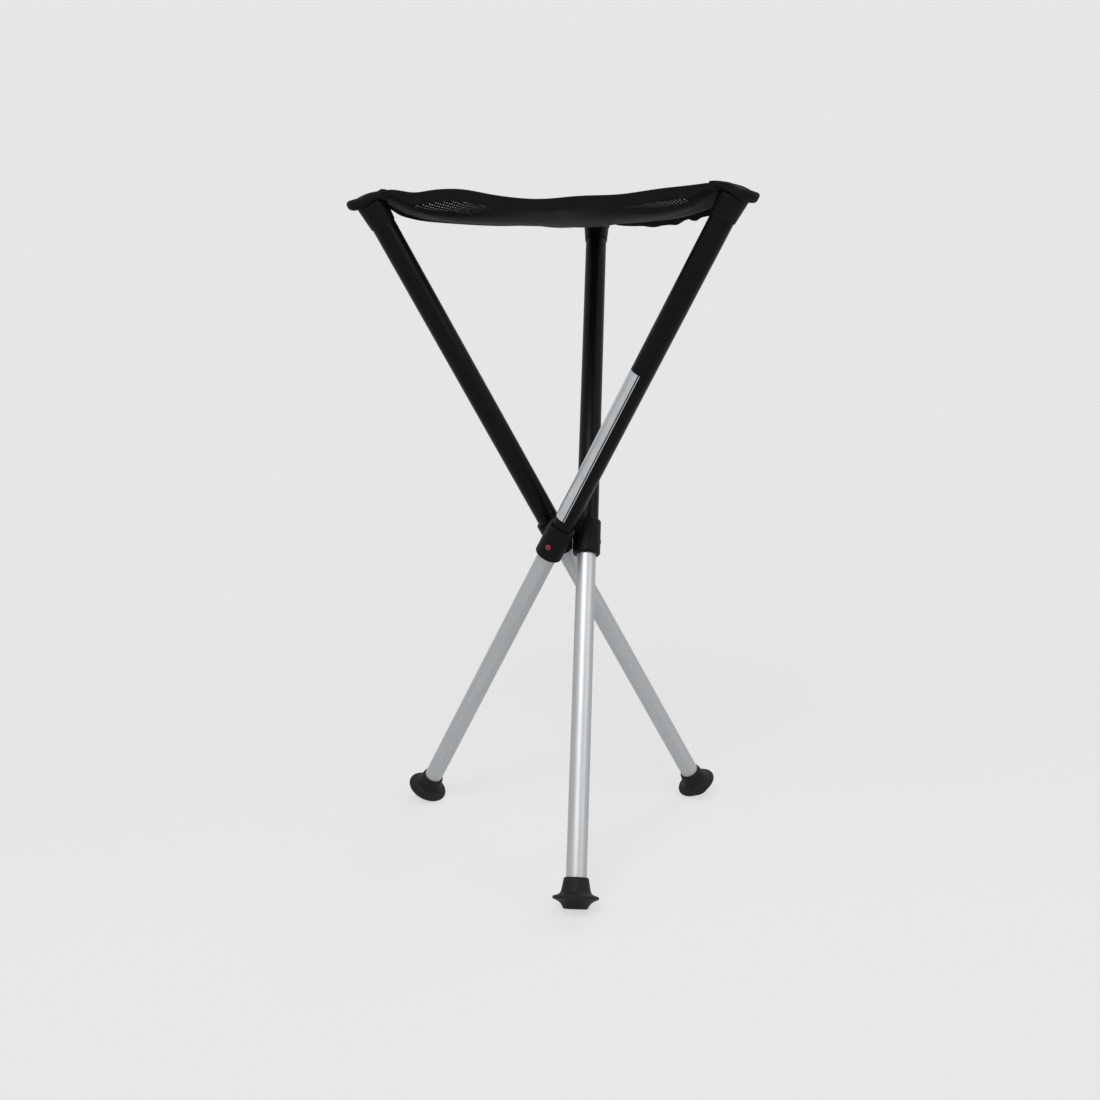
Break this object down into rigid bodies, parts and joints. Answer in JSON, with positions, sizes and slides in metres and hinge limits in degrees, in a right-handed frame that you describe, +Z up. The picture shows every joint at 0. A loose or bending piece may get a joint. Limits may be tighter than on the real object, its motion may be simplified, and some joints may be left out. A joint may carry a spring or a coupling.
{
  "type": "collapsible telescopic stool",
  "caption": "Tripod folding stool with a slung triangular mesh seat and telescopic legs that cross at a central pivot block.",
  "frame": {"origin": "middle of the underside of the open stool's bounding box, on the floor", "axes": "+Z up; +X runs outward from the stool's centre line through the pivot of leg c, whose foot points along -Y"},
  "size_m": [0.4406, 0.482, 0.7727],
  "materials": {
    "black_tube": "satin black coating",
    "silver_tube": "satin silver anodised",
    "black_plastic": "fine moulded grain",
    "red_plastic": "glossy",
    "black_rubber": "matt",
    "mesh_fabric": "open woven mesh",
    "hem_tape": "folded and stitched tape",
    "webbing": "sewn ribbed webbing",
    "zinc_steel": "zinc plated",
    "black_steel": "blackened",
    "spring_steel": "plain spring steel",
    "bare_foil": "brushed foil"
  },
  "bodies": {
    "hub": {"hub_core": "black_plastic", "pivot_screw_a": "zinc_steel", "pivot_washer_a": "zinc_steel", "pivot_screw_b": "zinc_steel", "pivot_washer_b": "zinc_steel", "pivot_screw_c": "zinc_steel", "pivot_washer_c": "zinc_steel"},
    "leg_a": {"upper_tube_a": "black_tube", "top_cap_a": "black_plastic", "corner_pad_a": "webbing", "corner_washer_a": "black_steel", "corner_screw_a": "black_steel", "collar_a": "black_plastic"},
    "lower_a": {"lower_tube_a": "silver_tube", "guide_bush_a": "black_plastic", "foot_a": "black_rubber", "foot_washer_a": "zinc_steel", "lock_spring_a": "spring_steel"},
    "button_a": {"lock_button_a": "red_plastic"},
    "seat_a": {"seat_net_a": "mesh_fabric", "seat_hem_a": "hem_tape"},
    "leg_b": {"upper_tube_b": "black_tube", "top_cap_b": "black_plastic", "corner_pad_b": "webbing", "corner_washer_b": "black_steel", "corner_screw_b": "black_steel", "collar_b": "black_plastic", "foil_strip": "bare_foil"},
    "lower_b": {"lower_tube_b": "silver_tube", "guide_bush_b": "black_plastic", "foot_b": "black_rubber", "foot_washer_b": "zinc_steel", "lock_spring_b": "spring_steel"},
    "button_b": {"lock_button_b": "red_plastic"},
    "seat_b": {"seat_net_b": "mesh_fabric", "seat_hem_b": "hem_tape"},
    "leg_c": {"upper_tube_c": "black_tube", "top_cap_c": "black_plastic", "corner_pad_c": "webbing", "corner_washer_c": "black_steel", "corner_screw_c": "black_steel", "collar_c": "black_plastic"},
    "lower_c": {"lower_tube_c": "silver_tube", "guide_bush_c": "black_plastic", "foot_c": "black_rubber", "foot_washer_c": "zinc_steel", "lock_spring_c": "spring_steel"},
    "button_c": {"lock_button_c": "red_plastic"},
    "seat_c": {"seat_net_c": "mesh_fabric", "seat_hem_c": "hem_tape"}
  },
  "joints": [
    {"name": "leg_a_fold", "type": "hinge", "parent": "hub", "child": "leg_a", "pos_m": [0.00086, 0.01086, 0.37401], "axis": [-0.5, 0.866, 0], "range_deg": [0, 22]},
    {"name": "leg_a_extend", "type": "slide", "parent": "leg_a", "child": "lower_a", "axis": [-0.4355, -0.2514, 0.8644], "range_m": [0, 0.29]},
    {"name": "button_a_press", "type": "slide", "parent": "leg_a", "child": "button_a", "axis": [0.6447, -0.7572, 0.1046], "range_m": [0, 0.001], "stiffness_N_per_m": 800, "springref_m": -0.002},
    {"name": "seat_a_drape", "type": "hinge", "parent": "leg_a", "child": "seat_a", "pos_m": [-0.2219, -0.11775, 0.32401], "axis": [-0.5, 0.866, 0], "range_deg": [-22, 0], "deforming": ["seat_net_a", "seat_hem_a"]},
    {"name": "leg_b_fold", "type": "hinge", "parent": "hub", "child": "leg_b", "pos_m": [0.00086, -0.03202, 0.37401], "axis": [-0.5, -0.866, 0], "range_deg": [0, 22]},
    {"name": "leg_b_extend", "type": "slide", "parent": "leg_b", "child": "lower_b", "axis": [0.4355, -0.2514, 0.8644], "range_m": [0, 0.29]},
    {"name": "button_b_press", "type": "slide", "parent": "leg_b", "child": "button_b", "axis": [0.3334, 0.937, 0.1046], "range_m": [0, 0.001], "stiffness_N_per_m": 800, "springref_m": -0.002},
    {"name": "seat_b_drape", "type": "hinge", "parent": "leg_b", "child": "seat_b", "pos_m": [0.22363, -0.16063, 0.32401], "axis": [-0.5, -0.866, 0], "range_deg": [-22, 0], "deforming": ["seat_net_b", "seat_hem_b"]},
    {"name": "leg_c_fold", "type": "hinge", "parent": "hub", "child": "leg_c", "pos_m": [0.038, -0.01058, 0.37401], "axis": [1, 0, 0], "range_deg": [0, 22]},
    {"name": "leg_c_extend", "type": "slide", "parent": "leg_c", "child": "lower_c", "axis": [0, 0.5029, 0.8644], "range_m": [0, 0.29]},
    {"name": "button_c_press", "type": "slide", "parent": "leg_c", "child": "button_c", "axis": [-0.9781, -0.1797, 0.1046], "range_m": [0, 0.001], "stiffness_N_per_m": 800, "springref_m": -0.002},
    {"name": "seat_c_drape", "type": "hinge", "parent": "leg_c", "child": "seat_c", "pos_m": [0.038, 0.24665, 0.32401], "axis": [1, 0, 0], "range_deg": [-22, 0], "deforming": ["seat_net_c", "seat_hem_c"]}
  ],
  "couplings": [
    {"joint": "seat_a_drape", "follows": "leg_a_fold", "ratio": -1},
    {"joint": "leg_b_fold", "follows": "leg_a_fold", "ratio": 1},
    {"joint": "seat_b_drape", "follows": "leg_a_fold", "ratio": -1},
    {"joint": "leg_c_fold", "follows": "leg_a_fold", "ratio": 1},
    {"joint": "seat_c_drape", "follows": "leg_a_fold", "ratio": -1}
  ]
}
